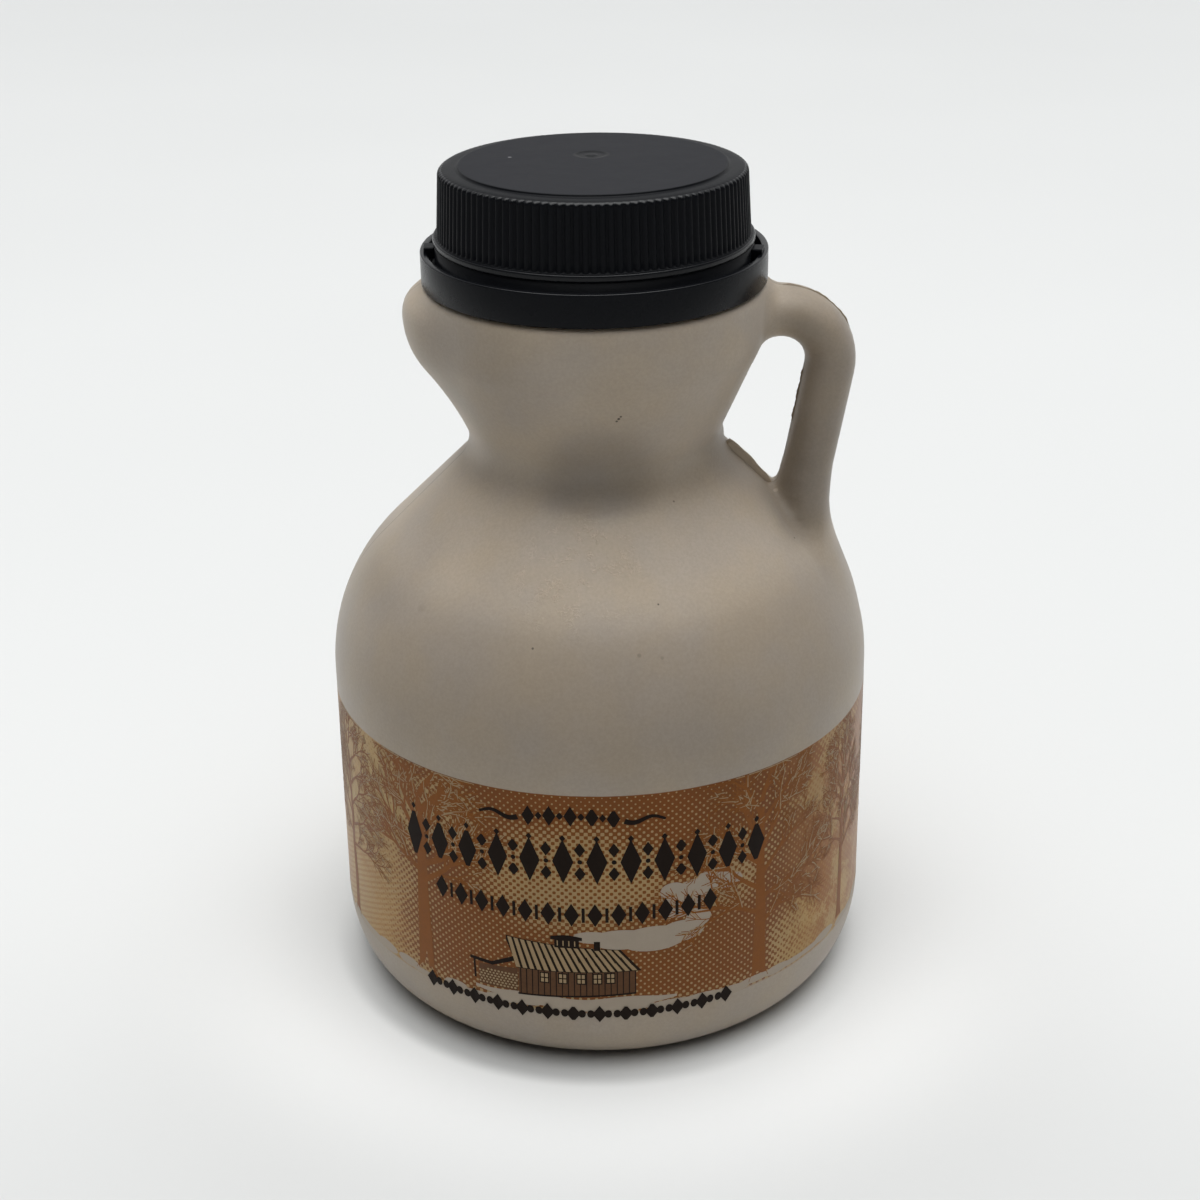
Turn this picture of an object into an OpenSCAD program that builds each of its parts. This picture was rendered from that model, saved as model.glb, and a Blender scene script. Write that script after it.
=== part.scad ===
// Small maple syrup jug: a shut blow moulded jug with a loop handle, a pour
// lip and a ribbed screw cap.  Millimetres, +Z up.  The origin is on the
// resting face, under the axis of the body.  The handle is on +X, the lip on -X.

/* [Body] */
// diameter of the round body at the top of its wall
body_d = 73.6; // [60:0.1:90]
// how much wider the wall is at its foot
wall_draft = 0.8; // [0:0.1:2]
// height at which the wall turns into the shoulder
wall_top = 44.7; // [30:0.1:70]
// how far the foot draws in at the bottom
foot_r = 6; // [2:0.1:8]
// height over which the foot draws in
foot_h = 10; // [3:0.1:14]
// radius of the shoulder curve
shoulder_r = 25.5; // [15:0.5:32]
// steepness of the shoulder below the waist, in degrees off the axis
shoulder_slope = 45; // [38:1:55]

/* [Neck] */
// diameter of the narrow waist above the shoulder
waist_d = 33.8; // [26:0.1:40]
// radius of the hollow at the waist
waist_r = 4.2; // [2:0.1:8]
// angle at which the collar flares out above the waist
collar_flare = 23; // [12:1:35]
// diameter of the collar under the cap
collar_d = 44.4; // [36:0.1:54]
// height from the middle of the waist to the top of the collar
collar_h = 20.9; // [18:0.1:32]
// radius of the collar's upper edge
collar_edge_r = 1.2; // [0.5:0.1:2]
// how far the pour lip reaches past the collar
lip_reach = 2.7; // [1:0.1:5]
// diameter of the lip's rounded front at the top
lip_d = 29; // [16:0.5:34]
// radius of the lip's upper edge
lip_edge_r = 2.6; // [1:0.1:4]

/* [Handle] */
// thickness of the handle, seen from the side
handle_t = 6.7; // [5:0.1:9]
// width of the handle, seen from the end
handle_w = 9.6; // [6:0.1:14]
// how far the handle stays inside the wall of the body
handle_inset = 2.8; // [0:0.1:5]
// how far the top of the handle is under the top of the collar
handle_drop = 1.3; // [0:0.1:4]
// radius of the handle's bend, to the middle of the tube
handle_bend = 6.7; // [4.8:0.1:9]
// lean of the handle's leg toward the axis, in degrees
handle_lean = 10; // [0:1:15]
// how much the handle swells out on each side where it leaves the collar
root_swell = 0.85; // [0:0.05:0.9]
// how much the handle swells out on each side inside the shoulder
foot_swell = 1.1; // [0:0.05:2.5]
// thickness of the thin web in the lower corner of the handle's gap
web_t = 0.8; // [0.5:0.1:2]
// how far the web stands off the shoulder
web_h = 0.9; // [0.5:0.1:2]

/* [Cap] */
// outside diameter of the tamper band
band_d = 44.3; // [38:0.1:52]
// height of the tamper band
band_h = 4.2; // [3:0.1:7]
// thickness of the tamper band's wall
band_t = 0.9; // [0.6:0.1:1.6]
// depth of the open groove inside the band
groove_depth = 2.8; // [1:0.1:3.5]
// width of the open groove inside the band
groove_w = 0.95; // [0.5:0.05:1.6]
// height of the gap between the band and the grip
gap_h = 0.9; // [0.5:0.1:2]
// directions of the small bridges that hold the band, in degrees
bridge_a = 184; // [160:1:200]
// direction of the second bridge, in degrees
bridge_b = 348; // [330:1:360]
// length of a bridge round the band
bridge_w = 2.5; // [1:0.1:4]
// diameter of the plain bead under the grip
bead_d = 40.9; // [38.2:0.1:41]
// height of the plain bead
bead_h = 0.9; // [0.5:0.1:2]
// diameter of the grip at its lower end, over the ribs
grip_d = 39.9; // [37:0.1:40.4]
// diameter of the grip at its upper end, over the ribs
grip_top_d = 39; // [36:0.1:39.8]
// height of the ribbed grip
grip_h = 8; // [5:0.1:14]
// number of ribs round the grip
ribs = 120; // [90:1:180]
// height of a rib
rib_h = 0.28; // [0.1:0.02:0.5]
// height of the plain rounded edge above the ribs
edge_h = 0.45; // [0.2:0.05:1]
// diameter of the flat disc on top
disc_d = 33.8; // [24:0.1:36]
// how far the disc stands above the edge round it
disc_rise = 0.3; // [0.1:0.05:1]
// diameter of the small dimple in the disc
dimple_d = 4.2; // [1:0.1:6]
// how far the dimple sits behind the middle of the disc
dimple_back = 4.2; // [0:0.1:10]
// depth of the small dimple
dimple_depth = 0.15; // [0.05:0.05:0.25]

/* [Hidden] */
body_r = body_d / 2;
base_r = body_r + wall_draft / 2;
arc_steps = 14;
round_fn = 96;
tube_fn = 48;
jug_color = [0.72, 0.66, 0.58];
cap_color = [0.06, 0.06, 0.07];

// end of the shoulder curve, then the straight slope runs on to the waist hollow
slope_start = [body_r - shoulder_r + shoulder_r * cos(shoulder_slope),
               wall_top + shoulder_r * sin(shoulder_slope)];
hollow_x = waist_d / 2 + waist_r;
waist_z = slope_start[1] + waist_r * sin(shoulder_slope)
        + (slope_start[0] - hollow_x + waist_r * cos(shoulder_slope))
        * cos(shoulder_slope) / sin(shoulder_slope);
collar_top = waist_z + collar_h;
flare_start = [hollow_x - waist_r * cos(collar_flare),
               waist_z + waist_r * sin(collar_flare)];
collar_r = collar_d / 2;
flare_end_z = flare_start[1] + (collar_r - flare_start[0]) / tan(collar_flare);

// the cap's levels, from the collar up
band_z = collar_top;
rim_z = band_z + band_h;
bead_z = rim_z + gap_h;
grip_z = bead_z + bead_h;
edge_z = grip_z + grip_h;
brim_z = edge_z + edge_h;
disc_z = brim_z + disc_rise;
core_r = band_d / 2 - band_t - groove_w;
eps = 0.05;
lap = 0.9;
swell = 0.06;

// the handle's path, from the collar round the bend and down to the shoulder
tube_r = handle_t / 2;
bar_z = collar_top - handle_drop - tube_r;
bend_x = body_r - handle_inset - tube_r - handle_bend;
bend_z = bar_z - handle_bend;
leg_top = [bend_x + handle_bend * cos(handle_lean),
           bend_z - handle_bend * sin(handle_lean)];
leg_mid_z = waist_z - 5;
leg_end_z = wall_top + shoulder_r * sin(shoulder_slope) - 6;
wide = handle_w / handle_t;

function turn(cx, cz, r, from, to, steps) =
    [for (i = [0:steps]) let (a = from + (to - from) * i / steps)
        [cx + r * cos(a), cz + r * sin(a)]];

function leg_x(z) = leg_top[0] - (leg_top[1] - z) * tan(handle_lean);

// quarter of an ellipse, from the flat base out to the wall
function foot_curve(steps) =
    [for (i = [0:steps]) let (a = -90 + 90 * i / steps)
        [base_r - foot_r + foot_r * cos(a), foot_h + foot_h * sin(a)]];

// outline of the whole revolved jug, from the middle of the base upward
function jug_outline() = concat(
    [[0, 0]],
    foot_curve(10),
    turn(body_r - shoulder_r, wall_top, shoulder_r, 0, shoulder_slope, arc_steps),
    turn(hollow_x, waist_z, waist_r, 180 + shoulder_slope, 180 - collar_flare, arc_steps),
    [[collar_r, flare_end_z]],
    turn(collar_r - collar_edge_r, collar_top - collar_edge_r, collar_edge_r, 0, 90, 5),
    [[0, collar_top]]);

// outline of the pour lip about its own axis
function lip_outline(r_top, r_low) = concat(
    [[0, waist_z]],
    [[r_low, waist_z + waist_r * sin(collar_flare)]],
    [[r_top - 0.8, flare_end_z - 0.8]],
    [[r_top, flare_end_z + 1.6]],
    turn(r_top - lip_edge_r, collar_top - 0.6 - lip_edge_r, lip_edge_r, 0, 90, 6),
    [[0, collar_top - 0.6]]);

module pour_lip() {
    lip_r = lip_d / 2;
    lip_x = collar_r + lip_reach - lip_r;
    low_r = max(2, flare_start[0] - lip_x + 0.1);
    translate([-lip_x, 0, 0])
        rotate_extrude($fn = round_fn)
            polygon(lip_outline(lip_r, low_r));
}

// a straight piece of the handle, thick at one end, between two points of its path
module limb(from, to, r_from, r_to) {
    run = to - from;
    long = norm(run);
    tip = atan2(run[0], run[1]);
    translate([from[0], 0, from[1]])
        rotate([0, tip, 0])
            cylinder(h = long, r1 = r_from, r2 = r_to, $fn = tube_fn);
}

// the straight pieces run a little way into the bend and stand just proud of it
module handle_tube() {
    limb([collar_r - 7, bar_z], [bend_x + lap, bar_z],
         tube_r + root_swell, tube_r + swell);
    translate([bend_x, 0, bend_z])
        rotate([90, 0, 0])
            rotate([0, 0, -handle_lean])
                rotate_extrude(angle = 90 + handle_lean, $fn = round_fn)
                    translate([handle_bend, 0])
                        circle(r = tube_r, $fn = tube_fn);
    limb([leg_x(leg_mid_z), leg_mid_z],
         [leg_top[0] + lap * sin(handle_lean), leg_top[1] + lap * cos(handle_lean)],
         tube_r, tube_r + swell);
    limb([leg_x(leg_end_z), leg_end_z], [leg_x(leg_mid_z), leg_mid_z],
         tube_r + foot_swell, tube_r);
}

// thin flat web left standing along the shoulder inside the handle's gap
module web() {
    low = [slope_start[0] - 3, slope_start[1] + 3];
    lift = web_h * sqrt(2);
    rotate([90, 0, 0])
        linear_extrude(height = web_t, center = true)
            polygon([[low[0], low[1] - 3],
                     [low[0], low[1] + lift],
                     [waist_d / 2 + lift / 2, waist_z - 1.2 + lift / 2],
                     [waist_d / 2 - 2, waist_z - 1.2 + lift / 2],
                     [waist_d / 2 - 2, low[1] - 3]]);
}

module jug() {
    color(jug_color)
        union() {
            rotate_extrude($fn = round_fn)
                polygon(jug_outline());
            pour_lip();
            scale([1, wide, 1])
                handle_tube();
            web();
        }
}

// one ribbed outline, with a flat crest and a flat valley for each rib
function rib_outline(r) =
    [for (i = [0:ribs - 1]) for (k = [0:3])
        let (a = 360 * (i + [0.05, 0.35, 0.55, 0.85][k]) / ribs,
             q = (k == 1 || k == 2) ? r : r - rib_h)
        [q * cos(a), q * sin(a)]];

module cap_band() {
    difference() {
        cylinder(h = band_h, d = band_d, $fn = round_fn);
        translate([0, 0, band_h - groove_depth])
            difference() {
                cylinder(h = groove_depth + 1, r = band_d / 2 - band_t, $fn = round_fn);
                translate([0, 0, -1])
                    cylinder(h = groove_depth + 3, r = core_r, $fn = round_fn);
            }
    }
}

// a small bridge from the core to the band's rim
module bridge(direction) {
    rotate([0, 0, direction])
        translate([core_r - 1, -bridge_w / 2, band_h - 1.2])
            cube([1 + groove_w + band_t / 2, bridge_w, 1.2 + gap_h + eps]);
}

module cap() {
    color(cap_color)
        union() {
            translate([0, 0, band_z]) {
                cap_band();
                bridge(bridge_a);
                bridge(bridge_b);
            }
            translate([0, 0, rim_z - eps])
                cylinder(h = gap_h + 2 * eps, r = core_r, $fn = round_fn);
            translate([0, 0, bead_z])
                cylinder(h = bead_h, d = bead_d, $fn = round_fn);
            translate([0, 0, grip_z - eps])
                linear_extrude(height = grip_h + eps, scale = grip_top_d / grip_d)
                    polygon(rib_outline(grip_d / 2));
            translate([0, 0, edge_z - eps])
                cylinder(h = edge_h + eps, d1 = grip_top_d - rib_h, d2 = grip_top_d - 3 * edge_h,
                         $fn = round_fn);
            difference() {
                translate([0, 0, brim_z - eps])
                    cylinder(h = disc_rise + eps, d = disc_d, $fn = round_fn);
                translate([0, dimple_back, disc_z - dimple_depth])
                    cylinder(h = 1, d = dimple_d, $fn = tube_fn);
            }
        }
}

jug();
cap();
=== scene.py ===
"""Looks of the small maple syrup jug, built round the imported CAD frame.

Metres, CAD frame: +Z up, handle on +X, lip on -X, the front of the print on -Y.
"""
import math
import random

import bpy
import numpy as np
from mathutils import Matrix, Vector


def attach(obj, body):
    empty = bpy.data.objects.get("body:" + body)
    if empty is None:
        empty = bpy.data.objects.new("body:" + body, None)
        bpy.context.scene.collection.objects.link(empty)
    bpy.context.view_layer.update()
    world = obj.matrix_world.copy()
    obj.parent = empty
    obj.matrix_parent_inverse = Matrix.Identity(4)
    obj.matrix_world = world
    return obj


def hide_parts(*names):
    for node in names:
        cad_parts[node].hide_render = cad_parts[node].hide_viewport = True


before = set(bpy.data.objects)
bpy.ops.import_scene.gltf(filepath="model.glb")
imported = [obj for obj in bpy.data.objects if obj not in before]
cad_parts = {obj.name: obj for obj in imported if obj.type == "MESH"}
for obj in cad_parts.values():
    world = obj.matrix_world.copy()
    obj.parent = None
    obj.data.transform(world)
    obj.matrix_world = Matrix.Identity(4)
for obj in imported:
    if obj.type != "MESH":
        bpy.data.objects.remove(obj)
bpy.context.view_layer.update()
MM = 0.001

# ---------------------------------------------------------------- sizes, in mm
BODY_R = 36.8          # radius at the top of the wall
BASE_R = 37.2          # radius at the top of the foot
WALL_TOP = 44.7
FOOT_R = 6.0           # how far the foot draws in
FOOT_H = 10.0
SHOULDER_R = 25.5
SLOPE = 45.0           # degrees, shoulder
WAIST_RAD = 16.9
HOLLOW_R = 4.2         # radius of the hollow at the waist
FLARE = 23.0           # degrees, collar
COLLAR_R = 22.2
COLLAR_BEND = 7.0
COLLAR_TOP = 97.8
EDGE_R = 1.2
LIP_REACH = 2.7
LIP_R = 14.5
LIP_EDGE = 3.4
LIP_FLARE = 37.0       # degrees
LIP_BEND = 11.0
SKIN = 0.06            # the visual skin lies this far inside the CAD surface
TUBE_T = 3.35          # half thickness of the handle, seen from the side
TUBE_W = 4.8           # half width of the handle
HANDLE_DROP = 1.3      # top of the handle below the collar's top
HANDLE_INSET = 2.8     # outer side of the handle inside the body's wall
HANDLE_START = 14.0    # where its centre line begins, inside the collar
BAR_Z = COLLAR_TOP - HANDLE_DROP - TUBE_T
BEND = 6.7             # radius of the handle's bend at its centre line
BEND_X = BODY_R - HANDLE_INSET - TUBE_T - BEND
LEAN = 10.0            # degrees that the grip leans inward
GRID = 0.7             # spacing of the sampling grid for the skin
GATE = (-0.2, 4.2)     # middle of the gate's dimple on the cap
PRINT_TOP = 42.5
PRINT_LOW = 9.6
PRINT_R = 36.9         # radius at which lengths round the print are measured
DOT_COLUMNS = 222      # whole number of dots round the jug, so that they meet


def arc(cx, cz, r, a0, a1, step=0.15):
    """Points of an arc, angles in degrees, both ends included."""
    n = max(3, int(abs(math.radians(a1 - a0)) * r / step))
    t = np.radians(np.linspace(a0, a1, n))
    return [(cx + r * math.cos(a), cz + r * math.sin(a)) for a in t]


def waist_height():
    """Height of the waist, where the sloping shoulder runs into its hollow."""
    s, c = math.sin(math.radians(SLOPE)), math.cos(math.radians(SLOPE))
    x0 = BODY_R - SHOULDER_R + SHOULDER_R * c
    z0 = WALL_TOP + SHOULDER_R * s
    return z0 + HOLLOW_R * s + (x0 - (WAIST_RAD + HOLLOW_R) + HOLLOW_R * c) * c / s


WAIST_Z = waist_height()


def flared_outline(waist_r, top_r, top_z, edge_r, flare, bend, low_cut):
    """Collar outline from the waist up, with a soft bend into the upright top."""
    f = math.radians(flare)
    hx = waist_r + HOLLOW_R
    start = (hx - HOLLOW_R * math.cos(f), WAIST_Z + HOLLOW_R * math.sin(f))
    bend_cx = top_r - bend
    # the bend's centre lies where the flare line is one bend radius away
    on = bend_cx + bend * math.cos(f)
    bz = start[1] + (on - start[0]) / math.tan(f) + bend * math.sin(f)
    pts = list(low_cut) + arc(hx, WAIST_Z, HOLLOW_R, 180, 180 - flare)
    pts += arc(bend_cx, bz, bend, -flare, 0)
    pts += arc(top_r - edge_r, top_z - edge_r, edge_r, 0, 90)
    pts.append((0.0, top_z))
    return pts


def foot_x(z):
    """Radius of the foot, a quarter of an ellipse from the base to the wall."""
    t = 1.0 - min(z, FOOT_H) / FOOT_H
    return BASE_R - FOOT_R + FOOT_R * math.sqrt(max(0.0, 1.0 - t * t))


def jug_outline():
    """Half outline of the turned body, from the base's middle to the collar's."""
    pts = [(0.0, 0.0)]
    pts += [(foot_x(z), z) for z in np.linspace(0.0, FOOT_H, 60)]
    pts += arc(BODY_R - SHOULDER_R, WALL_TOP, SHOULDER_R, 0, SLOPE)
    pts += arc(WAIST_RAD + HOLLOW_R, WAIST_Z, HOLLOW_R, 180 + SLOPE, 180)
    return flared_outline(WAIST_RAD, COLLAR_R, COLLAR_TOP, EDGE_R, FLARE, COLLAR_BEND, pts)


def lip_outline():
    """Half outline of the second turned body that makes the pour lip."""
    low_r = WAIST_RAD - (COLLAR_R + LIP_REACH - LIP_R) - 0.7
    low = [(0.0, WAIST_Z - 2.0), (low_r + 0.4, WAIST_Z - 2.0)]
    return flared_outline(low_r, LIP_R, COLLAR_TOP - 0.6, LIP_EDGE, LIP_FLARE, LIP_BEND, low)


class Outline:
    """Signed distance to a closed outline in the (radius, height) plane."""

    def __init__(self, pts, r_max=42.0, z_max=104.0, step=0.2):
        p = np.array(pts, float)
        keep = np.ones(len(p), bool)
        keep[1:] = np.linalg.norm(np.diff(p, axis=0), axis=1) > 1e-6
        p = p[keep]
        self.step = step
        self.r0, self.z0 = -4.0, -4.0
        rs = np.arange(self.r0, r_max, step)
        zs = np.arange(self.z0, z_max, step)
        rr, zz = np.meshgrid(rs, zs, indexing="ij")
        best = np.full(rr.shape, 1e9)
        inside = np.zeros(rr.shape, bool)
        a = p
        b = np.roll(p, -1, axis=0)
        for (ar, az), (br, bz) in zip(a, b):
            dr, dz = br - ar, bz - az
            on_axis = abs(ar) < 1e-9 and abs(br) < 1e-9
            if not on_axis:
                t = ((rr - ar) * dr + (zz - az) * dz) / (dr * dr + dz * dz)
                t = np.clip(t, 0, 1)
                d = (rr - ar - t * dr) ** 2 + (zz - az - t * dz) ** 2
                np.minimum(best, d, out=best)
            cross = (az > zz) != (bz > zz)
            if abs(dz) > 1e-12:
                hit = cross & (rr < ar + (zz - az) * dr / dz)
                inside ^= hit
        best = np.sqrt(best)
        # left of the axis mirror the sign of the nearest column on the right
        col = np.argmin(np.abs(rs - step / 2))
        inside[rs < 0] = inside[col]
        self.table = np.where(inside, -best, best)

    def __call__(self, r, z):
        i = (r - self.r0) / self.step
        j = (z - self.z0) / self.step
        i = np.clip(i, 0, self.table.shape[0] - 1.001)
        j = np.clip(j, 0, self.table.shape[1] - 1.001)
        i0, j0 = i.astype(int), j.astype(int)
        fi, fj = i - i0, j - j0
        t = self.table
        return ((t[i0, j0] * (1 - fi) + t[i0 + 1, j0] * fi) * (1 - fj)
                + (t[i0, j0 + 1] * (1 - fi) + t[i0 + 1, j0 + 1] * fi) * fj)


def blend_min(a, b, k):
    """Union of two distances with a fillet of about k."""
    h = np.clip(0.5 + 0.5 * (b - a) / k, 0, 1)
    return b * (1 - h) + a * h - k * h * (1 - h)


def handle_path():
    """Centre line of the handle with its half thickness and half width."""
    lean = math.radians(LEAN)
    pts = []
    for x in np.linspace(HANDLE_START, BEND_X, 9)[:-1]:
        g = max(0.0, (BEND_X - x) / (BEND_X - HANDLE_START))
        pts.append((x, BAR_Z, TUBE_T + 0.9 * g ** 1.5, TUBE_W + 1.6 * g ** 1.5))
    for a in np.linspace(90, -LEAN, 15):
        t = math.radians(a)
        pts.append((BEND_X + BEND * math.cos(t), BAR_Z - BEND + BEND * math.sin(t),
                    TUBE_T, TUBE_W))
    x0, z0 = pts[-1][0], pts[-1][1]
    for s in np.linspace(1.5, 31.0, 14):
        g = max(0.0, (s - 13.0) / 17.0)
        pts.append((x0 - s * math.sin(lean) + 1.9 * g * g, z0 - s * math.cos(lean),
                    TUBE_T + 1.3 * g, TUBE_W + 3.2 * g))
    return np.array(pts)


BODY = Outline(jug_outline())
LIP = Outline(lip_outline())
PATH = handle_path()


def handle_distance(x, y, z):
    """Distance to the handle, a chain of oval tubes along PATH."""
    best = np.full(x.shape, 1e9)
    for (x0, z0, t0, w0), (x1, z1, t1, w1) in zip(PATH[:-1], PATH[1:]):
        dx, dz = x1 - x0, z1 - z0
        s = np.clip(((x - x0) * dx + (z - z0) * dz) / (dx * dx + dz * dz), 0, 1)
        q = np.sqrt((x - x0 - s * dx) ** 2 + (z - z0 - s * dz) ** 2)
        t = t0 + (t1 - t0) * s
        w = w0 + (w1 - w0) * s
        k = np.sqrt((q / t) ** 2 + (y / w) ** 2)
        g = np.sqrt((q / t ** 2) ** 2 + (y / w ** 2) ** 2)
        d = np.where(k > 1e-6, k * (k - 1) / np.maximum(g, 1e-6), -t)
        np.minimum(best, d, out=best)
    return best


def jug_field(x, y, z):
    """Distance to the whole jug: body, lip and handle blended together."""
    r = np.sqrt(x * x + y * y)
    d = BODY(r, z)
    lip_x = COLLAR_R + LIP_REACH - LIP_R
    lip = LIP(np.sqrt((x + lip_x) ** 2 + y * y), z)
    d = np.where(z > WAIST_Z - 2, blend_min(d, lip, 1.3), d)
    near = (x > 4) & (z > 40) & (np.abs(y) < 16)
    h = handle_distance(x[near], y[near], z[near])
    # the collar is pinched beside the gap, and the handle's foot spreads outward
    waisted = np.clip((z - 77) / 3, 0, 1) * np.clip((92 - z) / 4, 0, 1)
    d = d + 1.0 * waisted * np.exp(-(y / 5.5) ** 2) * np.clip((x - 10) / 4, 0, 1)
    fillet = 2.2 + 2.8 * np.clip((x[near] - 26.5) / 3.5, 0, 1) * np.clip((76 - z[near]) / 6, 0, 1)
    d[near] = blend_min(d[near], h, fillet)
    # nothing rises past the collar's top face
    return np.maximum(d, z - COLLAR_TOP) + SKIN


def net(field, lo, hi, h):
    """Surface net of field = 0: vertices, quads and outward normals."""
    ax = [np.arange(lo[i], hi[i] + h, h) for i in range(3)]
    gx, gy, gz = np.meshgrid(*ax, indexing="ij")
    v = field(gx, gy, gz)
    s = v < 0
    n = [len(a) - 1 for a in ax]
    total = np.zeros(n + [3])
    count = np.zeros(n)
    for axis in range(3):
        p = [slice(None)] * 3
        q = [slice(None)] * 3
        p[axis], q[axis] = slice(0, -1), slice(1, None)
        p, q = tuple(p), tuple(q)
        hit = s[p] != s[q]
        t = np.where(hit, v[p] / np.where(hit, v[p] - v[q], 1.0), 0.0)
        pos = np.stack([gx[p], gy[p], gz[p]], -1)
        pos[..., axis] += t * h
        others = [a for a in range(3) if a != axis]
        for da in (0, 1):
            for db in (0, 1):
                c = [slice(None)] * 3
                c[others[0]] = slice(da, da + n[others[0]])
                c[others[1]] = slice(db, db + n[others[1]])
                c = tuple(c)
                total += np.where(hit[c][..., None], pos[c], 0.0)
                count += hit[c]
    live = count > 0
    ids = np.full(n, -1)
    ids[live] = np.arange(live.sum())
    verts = total[live] / count[live][:, None]
    quads = []
    for axis in range(3):
        p = [slice(1, -1)] * 3
        q = [slice(1, -1)] * 3
        p[axis], q[axis] = slice(0, -1), slice(1, None)
        a_in, b_in = s[tuple(p)], s[tuple(q)]
        i, j, k = np.nonzero(a_in != b_in)
        up = a_in[i, j, k]
        base = np.stack([i, j, k], -1)
        base[:, [a for a in range(3) if a != axis]] += 1
        u, w = (axis + 1) % 3, (axis + 2) % 3
        cells = []
        for du, dw in ((0, 0), (-1, 0), (-1, -1), (0, -1)):
            c = base.copy()
            c[:, u] += du
            c[:, w] += dw
            cells.append(ids[c[:, 0], c[:, 1], c[:, 2]])
        f = np.stack(cells, -1)
        quads.append(np.where(up[:, None], f, f[:, ::-1]))
    quads = np.concatenate(quads)

    def slope(pts):
        e = 0.08
        g = np.zeros_like(pts)
        for a in range(3):
            hi_p, lo_p = pts.copy(), pts.copy()
            hi_p[:, a] += e
            lo_p[:, a] -= e
            g[:, a] = (field(*hi_p.T) - field(*lo_p.T)) / (2 * e)
        return g

    for _ in range(4):
        g = slope(verts)
        gg = np.maximum((g * g).sum(1), 0.05)
        move = np.clip(field(*verts.T) / gg, -0.4, 0.4)
        verts = verts - move[:, None] * g
    g = slope(verts)
    return verts, quads, g / np.maximum(np.linalg.norm(g, axis=1), 1e-9)[:, None]


def mesh_object(name, verts_mm, faces, mat, normals=None):
    """A smooth-shaded mesh in the scene, from vertices in mm."""
    me = bpy.data.meshes.new(name)
    me.from_pydata((np.asarray(verts_mm) * MM).tolist(), [], [list(map(int, f)) for f in faces])
    me.validate()
    me.polygons.foreach_set("use_smooth", [True] * len(me.polygons))
    if normals is not None:
        me.normals_split_custom_set_from_vertices(np.asarray(normals).tolist())
    me.update()
    o = bpy.data.objects.new(name, me)
    bpy.context.scene.collection.objects.link(o)
    me.materials.append(mat)
    return o


# ---------------------------------------------------------------- material kit
class Nodes:
    """Short names for building a node tree."""

    def __init__(self, tree):
        self.t = tree

    def node(self, kind, **props):
        n = self.t.nodes.new(kind)
        for k, v in props.items():
            setattr(n, k, v)
        return n

    def put(self, socket, value):
        if hasattr(value, "is_output"):
            self.t.links.new(value, socket)
        else:
            socket.default_value = value

    def math(self, op, a, b=0.0):
        n = self.node("ShaderNodeMath", operation=op)
        for i, v in enumerate((a, b)):
            self.put(n.inputs[i], v)
        return n.outputs[0]

    def add(self, a, b):
        return self.math("ADD", a, b)

    def sub(self, a, b):
        return self.math("SUBTRACT", a, b)

    def mul(self, a, b):
        return self.math("MULTIPLY", a, b)

    def ramp(self, v, lo, hi, to_lo=0.0, to_hi=1.0):
        """A smooth step from to_lo at lo to to_hi at hi."""
        n = self.node("ShaderNodeMapRange", clamp=True, interpolation_type="SMOOTHSTEP")
        for i, x in enumerate((v, lo, hi, to_lo, to_hi)):
            self.put(n.inputs[i], x)
        return n.outputs[0]

    def mix(self, f, a, b, blend="MIX"):
        n = self.node("ShaderNodeMix", data_type="RGBA", blend_type=blend)
        self.put(n.inputs[0], f)
        self.put(n.inputs[6], a)
        self.put(n.inputs[7], b)
        return n.outputs[2]

    def noise(self, vector, scale, detail=2.0, rough=0.5, dist=0.0):
        n = self.node("ShaderNodeTexNoise")
        self.put(n.inputs["Vector"], vector)
        n.inputs["Scale"].default_value = scale
        n.inputs["Detail"].default_value = detail
        n.inputs["Roughness"].default_value = rough
        n.inputs["Distortion"].default_value = dist
        return n.outputs["Fac"]

    def place(self):
        """Position in mm, and its three parts."""
        g = self.node("ShaderNodeNewGeometry")
        s = self.node("ShaderNodeVectorMath", operation="SCALE")
        self.put(s.inputs[0], g.outputs["Position"])
        s.inputs["Scale"].default_value = 1000.0
        p = self.node("ShaderNodeSeparateXYZ")
        self.put(p.inputs[0], s.outputs[0])
        return s.outputs[0], p.outputs[0], p.outputs[1], p.outputs[2]

    def join(self, x, y, z):
        n = self.node("ShaderNodeCombineXYZ")
        for i, v in enumerate((x, y, z)):
            self.put(n.inputs[i], v)
        return n.outputs[0]

    def bump(self, height, strength, distance):
        n = self.node("ShaderNodeBump")
        n.inputs["Strength"].default_value = strength
        n.inputs["Distance"].default_value = distance
        self.put(n.inputs["Height"], height)
        return n.outputs[0]

    def near(self, vector, point, radius, soft):
        """1 inside radius of a point, falling to 0 over soft."""
        n = self.node("ShaderNodeVectorMath", operation="DISTANCE")
        self.put(n.inputs[0], vector)
        n.inputs[1].default_value = point
        return self.ramp(n.outputs["Value"], radius, radius + soft, 1.0, 0.0)


def material(name):
    """A new material, its node helper and its shader."""
    m = bpy.data.materials.new(name)
    m.use_nodes = True
    k = Nodes(m.node_tree)
    return m, k, m.node_tree.nodes["Principled BSDF"]


def tone(rgb, by=(1.0, 1.0, 1.0)):
    """A colour with alpha, times a factor for each channel."""
    return tuple(a * b for a, b in zip(rgb, by)) + (1.0,)


CREAM = (0.375, 0.315, 0.250)
TAN = (0.98, 0.77, 0.42)
TAN_SIDE = (1.06, 0.78, 0.30)
BROWN = (0.47, 0.160, 0.005)
SOLID = (0.80, 0.335, 0.004)
TREE = (0.59, 0.212, 0.008)

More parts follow.
